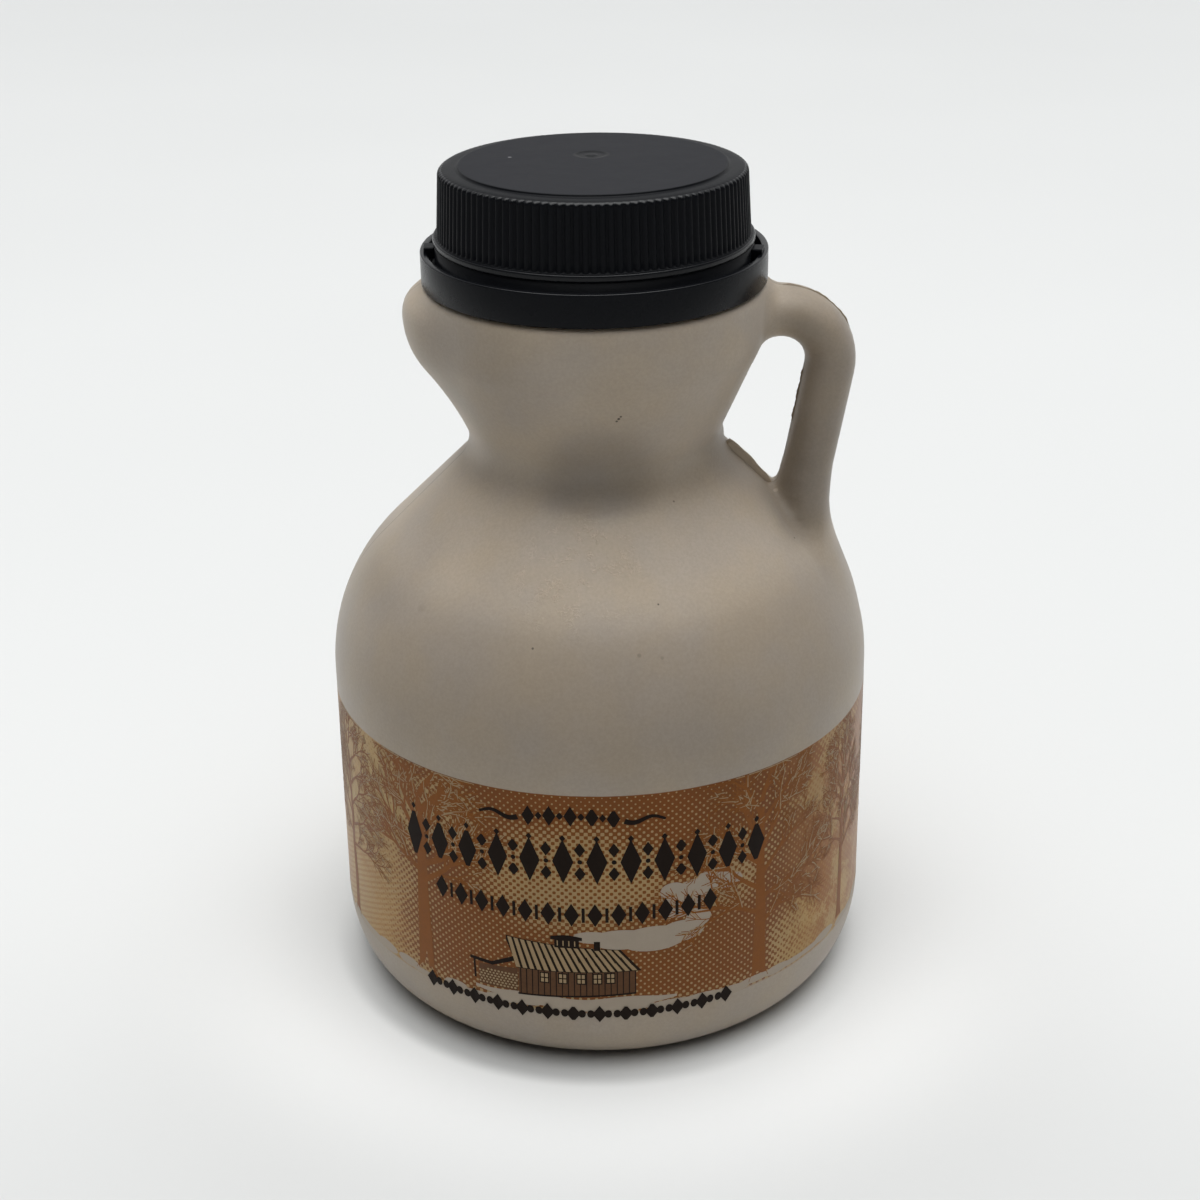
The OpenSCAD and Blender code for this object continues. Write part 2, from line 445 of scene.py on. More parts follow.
# small marks on the jug: place in mm, radius, softness, depth of tone
MARKS = [
    ((-8.2, -30.5, 60.0), 0.09, 0.12, 0.65), ((-16.0, -32.7, 47.3), 0.08, 0.12, 0.60),
    ((7.3, -27.0, 64.1), 0.09, 0.10, 0.68), ((4.8, -31.6, 59.4), 0.14, 0.26, 0.20),
    ((7.6, -31.4, 58.9), 0.10, 0.24, 0.20), ((25.8, -8.8, 64.7), 0.09, 0.12, 0.5),
    ((9.6, -16.1, 73.2), 0.08, 0.12, 0.5), ((-22.5, -21.0, 61.1), 0.3, 0.6, 0.08),
    ((2.45, -20.0, 85.45), 0.10, 0.12, 0.75), ((2.70, -20.1, 85.80), 0.12, 0.12, 0.80),
    ((2.95, -20.15, 86.15), 0.09, 0.12, 0.75), ((5.6, -36.6, 6.4), 0.10, 0.12, 0.6),
    ((23.8, -2.3, 68.8), 0.25, 0.20, -0.35),
]

# soft fields of painted shade on the jug, and one of painted light, given like the marks
SHADES = [
    ((-16.0, -14.0, 90.0), 3.0, 14.0, 0.19),      # beside the lip
    ((27.5, -4.0, 67.5), 3.0, 6.0, 0.16),         # handle's root
    ((-16.5, -5.0, 79.0), 1.5, 7.0, -0.15),       # left of the waist, paler
    ((-27.0, -12.0, 66.0), 3.0, 11.0, 0.13),      # left of the shoulder
]


def bare_plastic(k, pos, x, y, z):
    """Uneven cream plastic: its colour, mottle, crackled patch and mould seam, with painted light and
    shade.
    """
    cloudy = k.noise(pos, 0.045, 2.0)
    mottle = k.noise(pos, 0.6, 3.0, 0.6)
    grain = k.noise(pos, 3.2, 2.0, 0.6)
    shade = k.add(k.ramp(cloudy, 0.3, 0.7, 0.955, 1.035), k.mul(k.sub(mottle, 0.5), 0.07))
    shade = k.add(shade, k.mul(k.sub(grain, 0.5), 0.05))
    # painted shade: the whole handle is made darker than the body
    handle = k.mul(k.ramp(x, 21.0, 27.5), k.ramp(z, 62.0, 67.0))
    shade = k.mul(shade, k.ramp(handle, 0.0, 1.0, 1.0, 0.72))
    # painted light along the crest of the shoulder, where the top light falls
    crest_light = k.mul(k.ramp(z, 59.0, 66.0), k.ramp(z, 71.0, 75.0, 1.0, 0.0))
    shade = k.mul(shade, k.ramp(crest_light, 0.0, 1.0, 1.0, 1.15))
    # painted light: the collar is made a little lighter than the body
    shade = k.mul(shade, k.ramp(z, 77.0, 82.0, 1.0, 1.07))
    # painted shade by height: darkest on the wall just below the shoulder, less dark lower down, a
    # little darker at the foot
    painted_wall_shade = k.mul(k.ramp(z, 58.0, 66.0, 0.86, 1.0), k.ramp(z, 40.0, 52.0, 1.12, 1.0))
    painted_wall_shade = k.mul(painted_wall_shade, k.ramp(z, 3.0, 14.0, 0.97, 1.0))
    shade = k.mul(shade, painted_wall_shade)
    # painted shadow in the hollow of the waist under the collar; outside it the tone is lifted by
    # 1.07
    hollow_shadow = k.mul(k.near(pos, (0.0, -17.5, 77.0), 2.0, 10.0), k.ramp(z, 70.8, 73.8))
    shade = k.mul(shade, k.ramp(hollow_shadow, 0.0, 1.0, 1.07, 0.78))
    seam = k.ramp(k.math("ABSOLUTE", y), 0.12, 0.4, 1.0, 0.0)
    shade = k.mul(shade, k.ramp(seam, 0.0, 1.0, 1.0, 0.80))
    for point, radius, soft, depth in SHADES + MARKS:
        shade = k.mul(shade, k.ramp(k.near(pos, point, radius, soft), 0.0, 1.0, 1.0, 1.0 - depth))
    # a scuffed, finely crackled patch high on the front of the shoulder
    scuffed = k.near(pos, (-2.5, -24.0, 67.5), 3.5, 8.0)
    crackle = k.math("ABSOLUTE", k.sub(k.noise(pos, 0.8, 3.0, 0.7, 1.0), 0.5))
    sparse = k.ramp(k.noise(pos, 0.45, 3.0, 0.7), 0.50, 0.60)
    crackle = k.mul(k.mul(k.ramp(crackle, 0.0, 0.07, 1.0, 0.0), sparse), scuffed)
    shade = k.mul(shade, k.ramp(crackle, 0.0, 1.0, 1.0, 1.16))
    # fine grain, and a slow drift between warm and cool
    shade = k.mul(shade, k.ramp(k.noise(pos, 2.4, 2.0, 0.7), 0.3, 0.7, 0.965, 1.035))
    drift = k.noise(pos, 0.11, 2.0)
    warm = k.ramp(drift, 0.3, 0.7, 0.985, 1.015)
    cool = k.ramp(drift, 0.3, 0.7, 1.035, 0.965)
    bare = k.mix(1.0, tone(CREAM), k.join(k.mul(shade, warm), shade, k.mul(shade, cool)), "MULTIPLY")
    return bare, mottle, crackle, seam


def halftone(k, u, z, cover):
    """Round dots on a slanted grid, larger where the cover is higher."""
    pitch = 2 * math.pi * PRINT_R / (DOT_COLUMNS * math.sqrt(2))
    turn = 2 * math.pi / (pitch * math.sqrt(2))
    a = k.mul(k.add(u, z), turn)
    c = k.mul(k.sub(u, z), turn)
    wave = k.add(0.5, k.mul(k.add(k.math("COSINE", a), k.math("COSINE", c)), 0.25))
    return k.ramp(k.sub(k.add(wave, cover), 1.0), -0.06, 0.06)


def printed_fields(k, u, z, bare):
    """The plastic's colour with the print on it, and where the ink lies."""
    uv = k.join(u, z, 0.0)
    edge = k.mul(k.sub(k.noise(uv, 0.9, 2.0), 0.5), 0.25)
    band = k.mul(k.ramp(k.add(z, k.mul(edge, 0.3)), PRINT_TOP, PRINT_TOP + 0.12, 1.0, 0.0),
                 k.ramp(k.add(z, edge), PRINT_LOW - 0.1, PRINT_LOW + 0.5))
    # a pale glow behind the middle of the front
    gu = k.math("DIVIDE", k.add(u, 4.0), 15.5)
    gz = k.math("DIVIDE", k.sub(z, 30.0), 9.5)
    glow = k.ramp(k.add(k.mul(gu, gu), k.mul(gz, gz)), 0.15, 1.15, 1.0, 0.0)
    side = k.math("ABSOLUTE", k.add(u, 2.0))
    far = k.ramp(side, 22.0, 34.0)
    left = k.ramp(u, -40.0, -27.0, 1.0, 0.0)
    # rough light patches, like rime on twigs
    rime = k.noise(k.join(u, z, 3.0), 0.16, 4.0, 0.62, 0.6)
    fine = k.noise(k.join(k.mul(u, 1.4), z, 7.0), 1.3, 3.0, 0.65, 1.2)
    patch = k.mul(k.ramp(k.add(rime, k.mul(k.sub(fine, 0.5), 0.45)), 0.47, 0.60), far)
    pale_left = k.mul(left, k.ramp(k.add(rime, k.mul(fine, 0.5)), 0.5, 0.8, 0.35, 1.0))
    patch = k.math("MAXIMUM", patch, pale_left)
    # the print wraps: at the back every field fades to one plain value
    front = k.ramp(k.math("ABSOLUTE", u), 70.0, 105.0, 1.0, 0.0)
    patch = k.mul(patch, front)
    place_l = k.ramp(u, -33.0, -20.0, 0.46, 0.80)
    place_r = k.ramp(u, 27.0, 46.0, 0.80, 0.52)
    cover = k.sub(k.math("MINIMUM", place_l, place_r), k.mul(glow, 0.42))
    cover = k.sub(cover, k.mul(patch, 0.38))
    for centre, radius in (((16.8, 29.0, 0.0), 3.0), ((-31.0, 35.0, 0.0), 3.0),
                           ((-21.5, 38.0, 0.0), 2.0), ((28.5, 15.0, 0.0), 2.5)):
        open_sky = k.mul(k.near(uv, centre, radius, 5.0), k.ramp(fine, 0.35, 0.6, 0.4, 1.0))
        cover = k.sub(cover, k.mul(open_sky, 0.50))
    cover = k.sub(cover, k.ramp(z, PRINT_LOW, 13.5, 0.32, 0.0))
    cover = k.add(cover, k.ramp(z, 39.0, PRINT_TOP, 0.0, 0.10))
    cover = k.add(cover, k.mul(k.sub(k.noise(uv, 0.22, 2.0), 0.5), 0.22))
    # the sides of the front field end in a browner strip
    strip = k.mul(k.ramp(side, 42.0, 48.0), k.ramp(side, 58.0, 75.0, 1.0, 0.0))
    cover = k.add(cover, k.mul(strip, 0.30))
    cover = k.add(0.44, k.mul(front, k.sub(cover, 0.44)))
    # dots in front, and flat tones at the sides and along the top
    dots = halftone(k, u, z, cover)
    dotted = k.ramp(side, 25.0, 36.0, 1.0, 0.25)
    dotted = k.math("MAXIMUM", dotted, k.ramp(z, 36.0, 40.0, 0.0, 0.55))
    flat = k.ramp(cover, 0.1, 0.74)
    ink = k.mix(dotted, k.join(flat, flat, flat), k.join(dots, dots, dots))
    ink_v = k.node("ShaderNodeSeparateColor")
    k.put(ink_v.inputs[0], ink)
    ink_v = ink_v.outputs[0]
    under = k.mix(1.0, bare, k.mix(far, tone(TAN), tone(TAN_SIDE)), "MULTIPLY")
    under = k.mix(k.mul(patch, 0.08), under, bare)
    # fine slanted hatching on the far left, low down
    lines = k.math("SINE", k.mul(k.sub(z, k.mul(u, 0.5)), 2 * math.pi / 0.85))
    hatch = k.mul(k.ramp(u, -30.0, -24.0, 1.0, 0.0), k.ramp(z, 22.0, 30.0, 1.0, 0.0))
    hatch = k.mul(k.ramp(lines, -0.2, 0.6), hatch)
    hatch = k.mul(hatch, k.ramp(u, -70.0, -55.0))
    under = k.mix(k.mul(hatch, 0.45), under, k.mix(1.0, bare, tone(SOLID), "MULTIPLY"))
    deep = k.mix(dotted, tone(SOLID), tone(BROWN))
    over = k.mix(1.0, bare, deep, "MULTIPLY")
    printed = k.mix(ink_v, under, over)
    return k.mix(band, bare, printed), k.mul(band, ink_v)


def jug_material():
    """Cream plastic with its marks, and the fields of colour printed on it."""
    m, k, b = material("jug_plastic")
    pos, x, y, z = k.place()
    u = k.mul(k.math("ARCTAN2", x, k.mul(y, -1.0)), PRINT_R)
    bare, mottle, crackle, seam = bare_plastic(k, pos, x, y, z)
    colour, inked = printed_fields(k, u, z, bare)
    k.put(b.inputs["Base Color"], colour)
    rough = k.add(0.44, k.mul(k.sub(mottle, 0.5), 0.12))
    rough = k.sub(rough, k.mul(inked, 0.05))
    k.put(b.inputs["Roughness"], rough)
    b.inputs["IOR"].default_value = 1.5
    b.inputs["Specular IOR Level"].default_value = 0.2
    b.inputs["Sheen Weight"].default_value = 0.12
    b.inputs["Sheen Roughness"].default_value = 0.4
    b.inputs["Subsurface Weight"].default_value = 0.12
    b.inputs["Subsurface Radius"].default_value = (1.0, 0.75, 0.5)
    b.inputs["Subsurface Scale"].default_value = 0.003

    peel = k.noise(pos, 1.1, 2.0, 0.5)
    pitted = k.noise(pos, 4.5, 2.0, 0.7)
    height = k.add(k.mul(peel, 0.55), k.mul(pitted, 0.10))
    height = k.add(height, k.mul(crackle, 2.0))
    height = k.add(height, k.mul(seam, 1.3))
    height = k.add(height, k.mul(inked, 0.12))
    k.put(b.inputs["Normal"], k.bump(height, 0.5, 0.00006))
    return m


def ink_material(name, factor, variation=0.25, rough=0.42, shine=0.2):
    """One printed colour: the cream times a factor, with worn, uneven ink."""
    m, k, b = material(name)
    pos = k.place()[0]
    n1 = k.noise(pos, 0.5, 3.0, 0.6)
    n2 = k.noise(pos, 3.0, 2.0, 0.6)
    v = k.add(1.0, k.mul(k.sub(n1, 0.5), variation))
    v = k.add(v, k.mul(k.sub(n2, 0.5), variation))
    k.put(b.inputs["Base Color"], k.mix(1.0, tone(CREAM, factor), k.join(v, v, v), "MULTIPLY"))
    k.put(b.inputs["Roughness"], k.add(rough, k.mul(k.sub(n1, 0.5), 0.15)))
    b.inputs["Specular IOR Level"].default_value = shine
    k.put(b.inputs["Normal"], k.bump(n2, 0.3, 0.00003))
    return m


def cap_material(name, shine, gloss):
    """Black plastic, with a matter disc on the cap's top whose paler colour is painted reflection."""
    m, k, b = material(name)
    pos, x, y, z = k.place()
    n1 = k.noise(pos, 0.35, 3.0, 0.55)
    n2 = k.noise(pos, 6.0, 2.0, 0.6)
    n3 = k.noise(pos, 1.2, 3.0, 0.6)
    r = k.math("SQRT", k.add(k.mul(x, x), k.mul(y, y)))
    top = k.ramp(z, 111.8, 112.2)
    disc = k.mul(top, k.ramp(r, 16.6, 17.0, 1.0, 0.0))
    shade = k.add(1.0, k.add(k.mul(k.sub(n1, 0.5), 0.25), k.mul(k.sub(n2, 0.5), 0.2)))
    dust = k.mul(k.ramp(n3, 0.60, 0.75), 0.0015)
    speck = k.near(pos, (-10.5, 3.2, 112.5), 0.16, 0.14)
    dust = k.add(dust, k.mul(speck, 0.16))
    gate = k.near(pos, (*GATE, 112.5), 2.0, 0.7)
    disc = k.mul(disc, k.ramp(gate, 0.0, 1.0, 1.0, 0.0))
    # painted reflection: the disc's paler colour stands in for the light it reflects
    plain = k.mix(disc, (0.0058, 0.0064, 0.0080, 1.0), (0.0165, 0.0170, 0.0205, 1.0))
    base = k.mix(1.0, plain, k.join(shade, shade, shade), "MULTIPLY")
    base = k.mix(1.0, base, k.join(dust, dust, dust), "ADD")
    k.put(b.inputs["Base Color"], base)
    band = k.ramp(z, 102.0, 102.6, 1.0, 0.0)
    rough = k.add(gloss, k.mul(disc, 0.16))
    rough = k.sub(rough, k.mul(band, 0.08))
    rough = k.add(rough, k.mul(k.sub(n1, 0.5), 0.10))
    k.put(b.inputs["Roughness"], rough)
    b.inputs["Specular IOR Level"].default_value = shine
    height = k.add(k.mul(n2, 0.5), k.mul(n3, 0.5))
    k.put(b.inputs["Normal"], k.bump(height, 0.45, 0.00005))
    return m


JUG = jug_material()
CAP = cap_material("cap_plastic", 0.07, 0.36)
CAP_EDGE = cap_material("cap_polished_edge", 0.22, 0.22)
INK_TREE = ink_material("ink_tree", TREE)
INK_DARK = ink_material("ink_dark", (0.030, 0.018, 0.012), 0.5, 0.5, 0.08)
INK_WALL = ink_material("ink_wall", (0.27, 0.14, 0.065), 0.5, 0.45, 0.15)
INK_PALE = ink_material("ink_pale", (0.92, 0.76, 0.50), 0.2)
INK_SNOW = ink_material("ink_bare", (1.0, 0.985, 0.96), 0.08)
WEB = ink_material("web_plastic", (1.35, 1.33, 1.25), 0.2, 0.42, 0.3)
FLASH = ink_material("flash_plastic", (0.75, 0.71, 0.64), 0.3, 0.42, 0.3)

# ---------------------------------------------------------------- the jug's skin
verts, quads, normals = net(jug_field, (-39, -39, -1.05), (39, 39, 99.5), GRID)
verts[:, 2] = np.maximum(verts[:, 2], SKIN * 0.5)
jug = mesh_object("jug_skin", verts, quads, JUG, normals)
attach(jug, "root")
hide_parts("jug")


def web_piece():
    """The thin pinched web along the shoulder, inside the handle's gap."""
    s = math.radians(SLOPE)
    x_end = BODY_R - SHOULDER_R + SHOULDER_R * math.cos(s)
    z_end = WALL_TOP + SHOULDER_R * math.sin(s)
    rows = []
    n = 26
    for i in range(n):
        t = i / (n - 1)
        x = 17.2 + (25.4 - 17.2) * t
        z = z_end + (x_end - x) * math.tan(math.radians(90 - SLOPE))
        lift = 0.95 * math.sin(math.pi * min(1.0, 0.25 + t * 0.9)) ** 0.6
        rough = 0.05 * math.sin(9.1 * t) + 0.04 * math.sin(23.0 * t)
        rows.append((x, z, lift + rough))
    half = [(0.42, -1.2), (0.40, 0.55), (0.26, 0.92)]
    section = [(-y, h) for y, h in half] + [(0.0, 1.0)] + half[::-1]
    vs, fs = [], []
    for x, z, lift in rows:
        for y, h in section:
            d = h * lift if h > 0 else h
            vs.append((x + d * math.sin(s), y, z + d * math.cos(s)))
    m = len(section)
    for i in range(n - 1):
        for j in range(m - 1):
            a = i * m + j
            fs.append((a, a + 1, a + m + 1, a + m))
    fs.append(tuple(range(m - 1, -1, -1)))
    fs.append(tuple((n - 1) * m + j for j in range(m)))
    return mesh_object("web", vs, fs, WEB)


web = web_piece()
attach(web, "root")


def flash(name, path, lift):
    """A thin ragged fin left by the mould: path of (x, z, outward x, outward z)."""
    vs, fs = [], []
    section = ((-0.2, -0.4), (-0.15, 1.0), (0.15, 1.0), (0.2, -0.4))
    n = len(path)
    for i, (x, z, nx, nz) in enumerate(path):
        t = i / (n - 1)
        ragged = 0.8 + 0.2 * math.sin(17 * t) + 0.12 * math.sin(61 * t)
        rise = lift * min(1.0, 8 * t, 8 * (1 - t)) * ragged
        for y, h in section:
            d = rise * h if h > 0 else h
            vs.append((x + d * nx, y, z + d * nz))
    m = len(section)
    for i in range(n - 1):
        fs += [(i * m + j, i * m + j + 1, i * m + m + j + 1, i * m + m + j) for j in range(m - 1)]
    fs.append(tuple(range(m - 1, -1, -1)))
    fs.append(tuple((n - 1) * m + j for j in range(m)))
    piece = mesh_object(name, vs, fs, FLASH)
    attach(piece, "root")


def handle_flash():
    """The two fins: over the handle's bend, and inside its gap."""
    reach = BEND + TUBE_T - 2 * SKIN
    outer = []
    for a in np.radians(np.linspace(92.0, 22.0, 48)):
        c, s = math.cos(a), math.sin(a)
        outer.append((BEND_X + reach * c, BAR_Z - BEND + reach * s, c, s))
    flash("flash_outer", outer, 0.22)
    c, s = math.cos(math.radians(LEAN)), math.sin(math.radians(LEAN))
    x0, z0 = BEND_X + BEND * c, BAR_Z - BEND - BEND * s
    side = TUBE_T - 2 * SKIN
    inner = [(x0 - t * s - side * c, z0 - t * c + side * s, -c, s) for t in np.linspace(0.3, 8.6, 30)]
    flash("flash_inner", inner, 0.24)


handle_flash()

# ---------------------------------------------------------------- the cap
BAND_Z = COLLAR_TOP
RIM_Z = BAND_Z + 4.2
BEAD_Z = RIM_Z + 0.9
GRIP_Z = BEAD_Z + 0.9
EDGE_Z = GRIP_Z + 8.0
BRIM_Z = EDGE_Z + 0.45
DISC_Z = BRIM_Z + 0.3
RIBS = 120


def lathe(name, rows, mat, per=6, shape=None):
    """Turned piece: rows of (radius, height, rib depth)."""
    n = RIBS * per
    vs, fs = [], []
    t = np.arange(n) * 2 * math.pi / n
    wave = (0.5 - 0.5 * np.cos(RIBS * t)) ** 1.6
    for r, z, rib in rows:
        rr = r - rib * wave
        vs.append(np.stack([rr * np.cos(t), rr * np.sin(t), np.full(n, z)], -1))
    vs = np.concatenate(vs)
    if shape is not None:
        shape(vs)
    for i in range(len(rows) - 1):
        a = i * n + np.arange(n)
        b = i * n + (np.arange(n) + 1) % n
        fs.append(np.stack([a, b, b + n, a + n], -1))
    fs = np.concatenate(fs).tolist()
    if rows[0][0] > 1e-6:
        fs.append(list(range(n - 1, -1, -1)))
    if rows[-1][0] > 1e-6:
        fs.append([(len(rows) - 1) * n + i for i in range(n)])
    return mesh_object(name, vs, fs, mat)


def curve_rows(cx, cz, r, a0, a1, n, rib=0.0):
    """Rows along an arc of the cap's outline, angles in degrees."""
    out = []
    for i in range(n):
        a = math.radians(a0 + (a1 - a0) * i / (n - 1))
        out.append((cx + r * math.cos(a), cz + r * math.sin(a), rib))
    return out


def cap_rows():
    """The cap's outline from the band's foot to the middle of the disc."""
    core = 22.15 - 0.9 - 0.95
    rows = [(21.7, BAND_Z, 0.0), (22.0, BAND_Z + 0.05, 0.0), (22.14, BAND_Z + 0.22, 0.0)]
    rows += [(22.14, RIM_Z - 0.3, 0.0)]
    rows += curve_rows(21.94, RIM_Z - 0.2, 0.2, 0, 90, 5)
    rows += curve_rows(21.44, RIM_Z - 0.2, 0.2, 90, 180, 5)
    rows += [(21.24, RIM_Z - 2.4, 0.0), (21.1, RIM_Z - 2.75, 0.0)]
    rows += [(core + 0.1, RIM_Z - 2.8, 0.0), (core, RIM_Z - 2.6, 0.0), (core, BEAD_Z - 0.02, 0.0)]
    rows += curve_rows(20.2, BEAD_Z + 0.25, 0.25, -90, 0, 5)
    rows += curve_rows(20.2, GRIP_Z - 0.25, 0.25, 0, 90, 5)
    rows += [(19.92, GRIP_Z + 0.03, 0.0), (19.93, GRIP_Z + 0.12, 0.12)]
    for i in range(9):
        t = i / 8
        rows.append((19.93 - 0.43 * t, GRIP_Z + 0.3 + 7.3 * t, 0.36))
    rows += [(19.48, EDGE_Z - 0.2, 0.34), (19.42, EDGE_Z, 0.26)]
    rows += [(19.26, EDGE_Z + 0.16, 0.14), (18.98, EDGE_Z + 0.30, 0.05)]
    rows += [(18.55, BRIM_Z - 0.06, 0.0), (18.2, BRIM_Z - 0.01, 0.0)]
    rows += [(17.4, BRIM_Z, 0.0), (17.05, BRIM_Z + 0.01, 0.0)]
    rows += curve_rows(16.85, DISC_Z - 0.14, 0.12, 0, 90, 4)
    rows += [(16.5, DISC_Z - 0.02, 0.0)]
    rows += [(r, DISC_Z - 0.03, 0.0) for r in (14.0, 11.5, 9.0, 7.5, *np.arange(6.6, 0.2, -0.3))]
    return rows


def dimple(vs):
    """Press the gate's shallow dimple, with a small nub in it, into the disc."""
    d = np.hypot(vs[:, 0] - GATE[0], vs[:, 1] - GATE[1])
    dip = 0.11 * np.clip((2.1 - d) / 0.5, 0.0, 1.0) - 0.09 * np.clip((0.9 - d) / 0.4, 0.0, 1.0)
    vs[:, 2] -= np.where(vs[:, 2] > BRIM_Z + 0.2, dip, 0.0)


cap = lathe("cap_turned", cap_rows(), CAP, shape=dimple)


def polish(piece):
    """Give the rims of the band, the bead and the grip the glossier plastic."""
    piece.data.materials.append(CAP_EDGE)
    centre = np.empty(3 * len(piece.data.polygons))
    piece.data.polygons.foreach_get("center", centre)
    centre = centre.reshape(-1, 3) / MM
    r, z = np.hypot(centre[:, 0], centre[:, 1]), centre[:, 2]
    rim = (r > 21.2) & (z > RIM_Z - 0.22)
    bead = (r > 20.15) & (z > BEAD_Z) & (z < GRIP_Z)
    brow = (r > 18.9) & (z > EDGE_Z - 0.05)
    piece.data.polygons.foreach_set("material_index", (rim | bead | brow).astype(np.int32))


polish(cap)
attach(cap, "root")
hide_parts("cap")


def block(name, parts, mat):
    """Small rounded blocks: centre, half sizes, turn about Z in degrees."""
    vs, fs = [], []
    for (cx, cy, cz), (hx, hy, hz), turn in parts:
        c, s = math.cos(math.radians(turn)), math.sin(math.radians(turn))
        base = len(vs)
        for lx, ly, lz in [(a, b, d) for d in (-1, 1) for b in (-1, 1) for a in (-1, 1)]:
            px, py = cx + lx * hx, cy + ly * hy
            vs.append((c * px - s * py, s * px + c * py, cz + lz * hz))
        for f in ((0, 2, 3, 1), (4, 5, 7, 6), (0, 1, 5, 4), (2, 6, 7, 3), (0, 4, 6, 2), (1, 3, 7, 5)):
            fs.append([base + i for i in f])
    o = mesh_object(name, vs, fs, mat)
    o.data.polygons.foreach_set("use_smooth", [False] * len(o.data.polygons))
    bev = o.modifiers.new("round", "BEVEL")
    bev.width = 0.00018
    bev.segments = 3
    return o


bridges = block("cap_bridges", [
    ((20.9, 0, RIM_Z - 0.1), (0.75, 1.25, 0.7), 184),
    ((20.9, 0, RIM_Z - 0.1), (0.75, 1.25, 0.7), 348),
], CAP)
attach(bridges, "root")


# ---------------------------------------------------------------- the print
def wall_r(z):
    """Radius of the visual skin at a height on the foot or the wall."""
    if z < FOOT_H:
        return foot_x(z) - SKIN
    return BASE_R + (BODY_R - BASE_R) * (z - FOOT_H) / (WALL_TOP - FOOT_H) - SKIN


def wrap(polys, lift):
    """Flat polygons in (along the wall, height) mm, laid on the round wall."""
    vs, fs = [], []
    for poly, up in polys:
        area = sum(a[0] * b[1] - b[0] * a[1] for a, b in zip(poly, poly[1:] + poly[:1]))
        if abs(area) < 1e-6:
            continue
        if area < 0:
            poly = poly[::-1]
        base = len(vs)
        for pu, pz in poly:
            r = wall_r(pz) + lift + up
            t = pu / PRINT_R
            vs.append((r * math.sin(t), -r * math.cos(t), pz))
        fs.append([base + i for i in range(len(poly))])
    return vs, fs


def stroke(path, w0, w1, up=0.0):
    """A tapering line along a path, cut into short pieces."""
    out = []
    total = sum(math.dist(a, b) for a, b in zip(path, path[1:])) or 1.0
    run = 0.0
    prev = None
    dense = [path[0]]
    for a, b in zip(path, path[1:]):
        n = max(1, int(math.dist(a, b) / 1.4))
        for i in range(1, n + 1):
            dense.append((a[0] + (b[0] - a[0]) * i / n, a[1] + (b[1] - a[1]) * i / n))
    for i, p in enumerate(dense):
        q = dense[min(i + 1, len(dense) - 1)]
        o = dense[max(i - 1, 0)]
        dx, dz = q[0] - o[0], q[1] - o[1]
        ln = math.hypot(dx, dz) or 1.0
        if i:
            run += math.dist(dense[i - 1], p)
        w = (w0 + (w1 - w0) * run / total) / 2
        e = ((p[0] - dz / ln * w, p[1] + dx / ln * w), (p[0] + dz / ln * w, p[1] - dx / ln * w))
        if prev:
            out.append(([prev[0], prev[1], e[1], e[0]], up))
        prev = e
    return out


def span(u0, u1, low, high, up=0.0, step=1.0):
    """Area between two height functions, cut into narrow columns."""
    n = max(1, int(math.ceil((u1 - u0) / step)))
    out = []
    for i in range(n):
        a, b = u0 + (u1 - u0) * i / n, u0 + (u1 - u0) * (i + 1) / n
        out.append(([(a, low(a)), (b, low(b)), (b, high(b)), (a, high(a))], up))
    return out


def oval(u, z, ru, rz, up=0.0):
    """An oval about (u, z), with half sizes ru and rz."""
    def half(t):
        return rz * math.sqrt(max(0.0, 1 - ((t - u) / ru) ** 2))

    return span(u - ru, u + ru, lambda t: z - half(t), lambda t: z + half(t), up, min(1.0, ru / 5))


def lozenge(u, z, ru, rz, up=0.0):
    """A lozenge about (u, z), with half sizes ru and rz."""
    def half(t):
        return rz * (1 - abs(t - u) / ru)

    return span(u - ru, u + ru, lambda t: z - half(t), lambda t: z + half(t), up, min(1.0, ru / 2))


TWIGS = 5              # how often a limb forks before it ends


def bare_tree(u0, z0, top, spread, width, seed, first):
    """A leafless tree: a trunk, forking limbs and fans of twigs, some of them frosted."""
    rnd = random.Random(seed)
    out, frost = [], []

    def grow(u, z, ang, length, w, depth):
        path = [(u, z)]
        a = ang
        n = 4
        for _ in range(n):
            a += rnd.uniform(-0.16, 0.16)
            u += math.sin(a) * length / n
            z += math.cos(a) * length / n
            if z > PRINT_TOP - 0.25:
                z = PRINT_TOP - 0.25
            path.append((u, z))
            if depth < TWIGS and rnd.random() < 0.75:
                turn = rnd.choice((-1, 1)) * rnd.uniform(0.35, 0.85)
                grow(u, z, a + turn, length * rnd.uniform(0.42, 0.66), w * 0.5, depth + 1)
        up = rnd.uniform(0.0, 0.010)
        out.extend(stroke(path, w, max(0.10, w * 0.45), up))
        if depth >= 3 and rnd.random() < 0.15:
            side = [(pu + 0.22, pz + 0.16) for pu, pz in path]
            frost.extend(stroke(side, 0.16, 0.08, 0.014))
        if depth < TWIGS:
            for turn in (rnd.uniform(-0.5, -0.15), rnd.uniform(0.15, 0.5)):
                grow(u, z, a + turn, length * rnd.uniform(0.5, 0.75), w * 0.55, depth + 1)

    height = top - z0
    root = [(u0 - width * 0.75, z0 - 0.2), (u0 + width * 0.75, z0 - 0.2)]
    out.append((root + [(u0 + width * 0.5, z0 + 1.2), (u0 - width * 0.5, z0 + 1.2)], 0.0))
    path = [(u0 + rnd.uniform(-0.15, 0.15), z0 + 1.2 + height * t)
            for t in (0.0, 0.15, 0.3, 0.45, 0.6, 0.75)]
    path[0] = (u0, z0 + 1.0)
    out.extend(stroke(path, width, width * 0.4, 0.004))
    crown = 0.78
    for i in range(11):
        t = first + (crown - first) * i / 10
        sgn = -1 if i % 2 else 1
        ang = sgn * (1.15 - 0.75 * (t - first) / (crown - first))
        grow(u0, z0 + 1.2 + height * t, ang, spread * (1.05 - 0.5 * t) * 0.5, width * 0.36, 2)
    return out, frost


